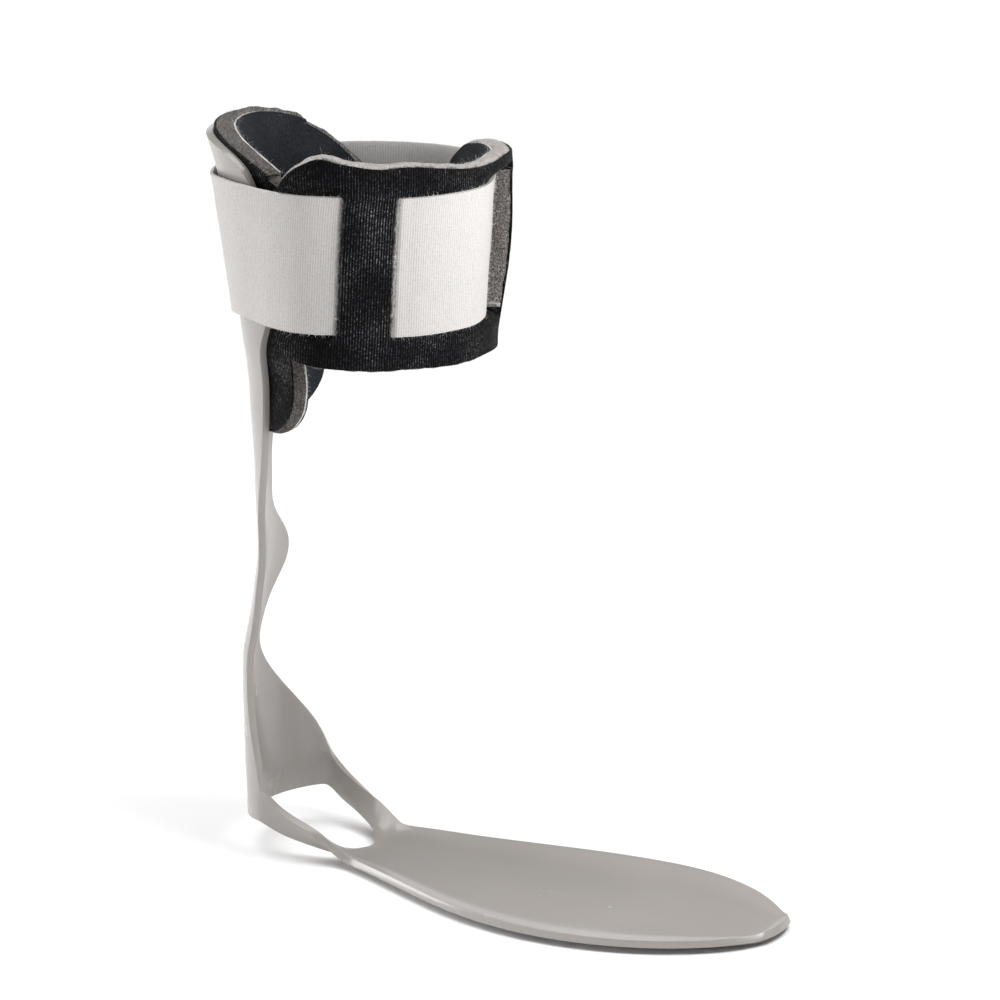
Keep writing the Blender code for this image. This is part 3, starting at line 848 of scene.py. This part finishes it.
def add_pad_fuzz(prefix, cut, place, body, materials):
    """Loose fibres along a pad's cut edges and over its outer face."""
    rng = np.random.default_rng(11)
    fuzz = (
        ("pale_edge_fuzz", border_roots(cut, place, (7.4, 9.8), 3200, rng), "pale_fibre", 1.5, 0.8),
        ("foam_edge_fuzz", border_roots(cut, place, (0.8, 8.0), 4200, rng), "foam_fibre", 1.3, 0.7),
        ("dark_edge_fuzz", border_roots(cut, place, (0.0, 1.0), 1200, rng), "dark_fibre", 1.4, 0.8),
        ("dark_face_fuzz", face_roots(cut, place, 7000, rng), "dark_fibre", 0.8, 1.6),
    )
    for name, roots, key, length, spread in fuzz:
        item = make_fuzz(f"{prefix}_{name}", roots, materials[key], length, spread, rng)
        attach(item, body)


# ---------------------------------------------------------------- strap

def under(angle):
    """Outer radius of the strap where it passes under the front pad."""
    return front_radius(angle) - UNDER_DEPTH


def dive(slot, inward, toward):
    """Path points through one slot, close to the bar that toward points at, +1 for medial.
    inward goes from over the pad to under it."""
    middle = slot + toward * (SLOT_HALF - 1.5)
    outer = strap_over(slot - 1.5 if inward else slot + 1.5)
    inner = under(slot)
    sign = 1 if inward else -1
    steps = [(-1.3, outer), (-0.55, outer - 0.5), (-0.1, outer - 1.8), (0.1, inner + 1.8),
             (0.55, inner + 0.5), (1.3, inner)]
    path = [(middle + sign * d, r) for d, r in steps]
    return path if inward else path[::-1]


def stretch_path(start, end, radius, step=2.0):
    """Path points from one angle to another, about step degrees apart."""
    count = max(1, round(abs(end - start) / step))
    return [(a, radius(a)) for a in np.linspace(start, end, count + 1)]


def anchor_radius(angle):
    """The anchored end leaves the front pad and lies on the cuff's medial wing."""
    on_cuff = CUFF_RADIUS + STRAP_THICK + 0.3
    return strap_over(angle) + (on_cuff - strap_over(angle)) * ease((angle - SWING_ANGLE) / 40)


def distances(path):
    """How far along the strap each point of a path lies, in metres."""
    result = []
    length = 0.0
    previous = None
    for angle, radius in path:
        spot = Vector(calf_point(angle, radius, STRAP_MIDDLE))
        length += (spot - previous).length if previous else 0.0
        previous = spot
        result.append(length)
    return result


def make_band(name, path, material):
    """A length of strap along a path of (angle, outer radius), with rounded selvedges. Also returns
    its length in metres."""
    heights = np.linspace(STRAP_LOW, STRAP_TOP, 31)
    lengths = distances(path)
    points = []
    flat = []
    for level in heights:
        edge = max(0.0, abs(level - STRAP_MIDDLE) - STRAP_WIDTH / 2 + 1.6) / 1.6
        for (angle, radius), s in zip(path, lengths):
            z = level + strap_shift(angle)
            points.append(calf_point(skew(angle, z), radius + 0.12 * edge, z))
            flat.append((s, level * MM))
    item = add_mesh(name, points, grid_faces(len(heights), len(path)), material, flat)
    modify(item,
           ("SOLIDIFY", {"thickness": STRAP_THICK * MM, "offset": -1, "use_even_offset": True,
                         "use_quality_normals": True}),
           ("BEVEL", {"width": 0.4 * MM, "segments": 2, "limit_method": "ANGLE",
                      "angle_limit": math.radians(60)}))
    roughen(item, 0.14, 9.0, seed=7.0)
    shade(item, 60)
    return item, lengths[-1]


def selvedge_roots(path, rng):
    """Random spots on the strap's two long edges."""
    roots = []
    for k in rng.integers(1, len(path) - 1, size=len(path) * 9):
        angle, radius = path[k]
        level = rng.choice((STRAP_LOW, STRAP_TOP))
        z = level + strap_shift(angle)
        spot = np.array(calf_point(skew(angle, z), radius - rng.uniform(0.1, 1.2), z))
        roots.append((spot, np.array((0, 0, math.copysign(1, level - STRAP_MIDDLE)))))
    return roots


def slot_roots(slot, side, rng, count=1100):
    """Random spots on the strap beside a slot, where its loops are rubbed to fluff."""
    roots = []
    for _ in range(count):
        level = rng.uniform(STRAP_LOW, STRAP_TOP)
        angle = slot + side * SLOT_HALF + rng.uniform(-0.4, 0.4)
        z = level + strap_shift(angle)
        radius = strap_over(slot) - rng.uniform(-0.2, 1.4)
        spot = np.array(calf_point(skew(angle, z), radius, z))
        out = spot - np.array(CALF_AXIS)
        out[2] = 0
        roots.append((spot, out / np.linalg.norm(out)))
    return roots


def make_strap(material, fluff):
    """The strap in two lengths that meet under the front pad, between its two medial slots."""
    rng = np.random.default_rng(5)
    a, b, c, d = SLOTS
    meet = (c + d) / 2
    off_pad = FRONT_START - 3
    front = stretch_path(TAIL_END, off_pad, strap_over, 3.0)[:-1]
    front += stretch_path(off_pad, a - 0.2, strap_over, 1.2)
    front += dive(a, True, 1) + stretch_path(a + 3.4, b - 3.4, under)
    front += dive(b, False, -1) + stretch_path(b + 0.6, c - 1.9, strap_over)
    front += dive(c, True, 0) + stretch_path(c + 3.4, meet - 0.05, under)
    tail, tail_length = make_band("strap_front_length", front, material)
    tail_roots = selvedge_roots(front, rng)
    back = stretch_path(meet + 0.05, d - 3.4, under) + dive(d, False, -1)
    back += stretch_path(d + 0.6, 70, anchor_radius) + stretch_path(73, ANCHOR_END, anchor_radius, 3.0)
    anchor, anchor_length = make_band("strap_anchor_length", back, material)
    anchor_roots = selvedge_roots(back, rng)
    calf_point(PEEL_ANGLE + 2.5, 60, 278)
    calf_point(PEEL_ANGLE - 5, 60, 278)
    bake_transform(tail)
    calf_point(74, 60, 278)
    calf_point(64, 60, 278)
    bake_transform(anchor)
    for slot, side in ((a, 0.48), (b, -0.5), (c, 0.0)):
        tail_roots += slot_roots(slot, side, rng)
    tail_fuzz = make_fuzz("strap_front_fluff", tail_roots, fluff, 1.3, 0.9, rng, 0.055)
    anchor_fuzz = make_fuzz("strap_anchor_fluff", anchor_roots, fluff, 0.9, 0.9, rng)
    calf_point(PEEL_ANGLE + 2.5, 60, 278)
    calf_point(PEEL_ANGLE - 5, 60, 278)
    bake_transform(tail_fuzz)
    calf_point(74, 60, 278)
    calf_point(64, 60, 278)
    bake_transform(anchor_fuzz)
    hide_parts("strap_front", "strap_tail")
    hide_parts("strap_anchor")


# ---------------------------------------------------------------- rivets

def rivet_frame(height):
    """Point on the cuff's outer face at a rivet, and the face's outward direction there."""
    around = [Vector(calf_point(RIVET_ANGLE + d, CUFF_RADIUS, height)) for d in (-3, 3)]
    upright = [Vector(calf_point(RIVET_ANGLE, CUFF_RADIUS, height + d)) for d in (-6, 6)]
    direction = (around[1] - around[0]).cross(upright[1] - upright[0]).normalized()
    return Vector(calf_point(RIVET_ANGLE, CUFF_RADIUS, height)), direction


def turned(name, profile, height, material, node):
    """Solid of revolution about a rivet's axis from (radius, height outside the cuff) points."""
    point, direction = rivet_frame(height)
    place = Matrix.Translation(point) @ direction.to_track_quat("Z", "Y").to_matrix().to_4x4()
    sides = 48
    rings = len(profile)
    points = []
    for radius, level in profile:
        for k in range(sides):
            turn = 2 * math.pi * k / sides
            points.append(place @ Vector((radius * math.cos(turn), radius * math.sin(turn), level)))
    faces = []
    for i in range(rings):
        this = i * sides
        following = (i + 1) % rings * sides
        for k in range(sides):
            after = (k + 1) % sides
            faces.append((this + k, this + after, following + after, following + k))
    item = add_mesh(name, points, faces, material, angle=40)
    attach(item, "calf")
    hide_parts(node)


def make_rivets(material):
    """Two tubular rivets with domed heads on the strap, and washers inside the cuff."""
    for label, height in zip(("lower", "upper"), RIVET_HEIGHTS):
        base = STRAP_THICK + 0.75
        inside = -(WALL + 1.3)
        head = [(0.05, base + 1.5), (1.2, base + 1.45), (2.6, base + 1.25), (3.8, base + 0.85),
                (4.6, base + 0.4), (4.95, base + 0.1), (4.9, base - 0.1), (4.5, base - 0.15),
                (2.1, base - 0.1), (2.0, base - 0.3), (2.0, inside), (2.3, inside - 0.15),
                (2.4, inside - 0.4), (2.0, inside - 0.6), (1.5, inside - 0.45), (1.3, inside),
                (1.25, inside + 1.5), (0.05, inside + 1.6)]
        turned(f"rivet_{label}", [(r * MM, z * MM) for r, z in head], height, material,
               f"strap_rivet_{label}")
        ring = [(2.35, inside + 0.1), (2.3, inside + 0.55), (2.5, inside + 0.68), (4.2, inside + 0.68),
                (4.55, inside + 0.5), (4.6, inside + 0.25), (4.4, inside + 0.02), (2.6, inside - 0.02)]
        turned(f"washer_{label}", [(r * MM, z * MM) for r, z in ring], height, material,
               f"rivet_washer_{label}")


# ---------------------------------------------------------------- stage

def make_stage():
    """Pale floor, soft lights and the camera."""
    r = Recipe("stage_floor")
    r.set(Base_Color=(0.87, 0.87, 0.87, 1), Roughness=1.0, Specular_IOR_Level=0.0)
    signs = ((-1, -1), (1, -1), (1, 1), (-1, 1))
    corners = [(x * FLOOR_REACH, y * FLOOR_REACH, -FLOOR_GAP) for x, y in signs]
    floor = add_mesh("floor", corners, [(0, 1, 2, 3)], r.material)
    make_world()
    add_sun("above", 0, 90, 2.9, 60)
    add_sun("left", -163, 12, 2.7, 40)
    add_lamp("right", (0.27, 0.0, 0.36), 0.25, 1.15)
    bpy.context.scene.view_settings.view_transform = "Standard"
    make_camera()


def make_camera():
    """Camera aimed at the middle of the part, turned from its lateral side towards the toe."""
    turn = math.radians(CAMERA_TURN)
    rise = math.radians(CAMERA_RISE)
    back = Vector((math.sin(turn) * math.cos(rise), -math.cos(turn) * math.cos(rise), math.sin(rise)))
    data = bpy.data.cameras.new("camera")
    data.sensor_width = CAMERA_SENSOR
    data.lens = CAMERA_LENS
    data.clip_start = 0.05
    camera = bpy.data.objects.new("camera", data)
    camera.location = Vector(CAMERA_TARGET) + back * CAMERA_DISTANCE
    camera.rotation_euler = (-back).to_track_quat("-Z", "Y").to_euler()
    bpy.context.scene.collection.objects.link(camera)
    bpy.context.scene.camera = camera


def make_world():
    """Dim room with a pale band at the horizon, so that the floor has no dark edge behind it."""
    world = bpy.data.worlds.new("studio")
    bpy.context.scene.world = world
    world.use_nodes = True
    tree = world.node_tree
    where = tree.nodes.new("ShaderNodeTexCoord")
    split = tree.nodes.new("ShaderNodeSeparateXYZ")
    ramp = tree.nodes.new("ShaderNodeValToRGB")
    background = tree.nodes["Background"]
    tree.links.new(where.outputs["Generated"], split.inputs[0])
    tree.links.new(split.outputs["Z"], ramp.inputs[0])
    tree.links.new(ramp.outputs[0], background.inputs[0])
    band, room = ramp.color_ramp.elements
    band.position = 0.15
    band.color = (1, 1, 1, 1)
    room.position = 0.26
    room.color = (0.06, 0.06, 0.06, 1)
    background.inputs[1].default_value = 1.0


def add_sun(name, azimuth, elevation, strength, softness):
    """Distant soft light from an azimuth and elevation, with its angular width, all in degrees."""
    data = bpy.data.lights.new(name, "SUN")
    data.energy = strength
    data.angle = math.radians(softness)
    turn = math.radians(azimuth)
    rise = math.radians(elevation)
    source = Vector((math.cos(turn) * math.cos(rise), math.sin(turn) * math.cos(rise), math.sin(rise)))
    lamp = bpy.data.objects.new(name, data)
    lamp.rotation_euler = source.to_track_quat("Z", "Y").to_euler()
    bpy.context.scene.collection.objects.link(lamp)


def add_lamp(name, place, size, power):
    """Round soft lamp near the object, aimed at the cuff."""
    data = bpy.data.lights.new(name, "AREA")
    data.shape = "DISK"
    data.size = size
    data.energy = power
    lamp = bpy.data.objects.new(name, data)
    lamp.location = place
    aim = Vector(LAMP_TARGET) - Vector(place)
    lamp.rotation_euler = aim.to_track_quat("-Z", "Y").to_euler()
    lamp.visible_camera = False
    bpy.context.scene.collection.objects.link(lamp)


# ---------------------------------------------------------------- assembly

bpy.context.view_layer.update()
make_stage()
materials = {
    "shell": moulded_plastic(),
    "loop_fabric": loop_fabric(),
    # One foam in two copies: the front pad's gets painted light on its upward faces, and the calf pad's
    # is darkened by painted shade.
    "front_pad_foam": cut_foam("visual_front_foam_painted_top_light", 1.0),
    "calf_pad_foam": cut_foam("visual_calf_foam_painted_shade", 0.15),
    "scrim": scrim_cloth(),
    "lining": lining_cloth(),
    "strap": strap_cloth(),
    "hook_tape": hook_plastic(),
    "metal": nickel(),
    "pale_fibre": fibre_material("visual_pale_fibre", (0.75, 0.73, 0.715)),
    "white_fibre": fibre_material("visual_white_fibre", (0.85, 0.835, 0.82)),
    "foam_fibre": fibre_material("visual_foam_fibre", (0.55, 0.525, 0.51)),
    "dark_fibre": fibre_material("visual_dark_fibre", (0.09, 0.09, 0.095)),
}
shell = make_shell(materials["shell"])
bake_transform(shell)
make_pad("front_pad", front_cut(), front_place, "front_pad", materials)
make_pad("calf_pad", calf_cut(), pad_place, "calf", materials)
make_strap(materials["strap"], materials["white_fibre"])
make_rivets(materials["metal"])
for name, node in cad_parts.items():
    if "patch" in name:
        node.data.materials.clear()
        node.data.materials.append(materials["hook_tape"])
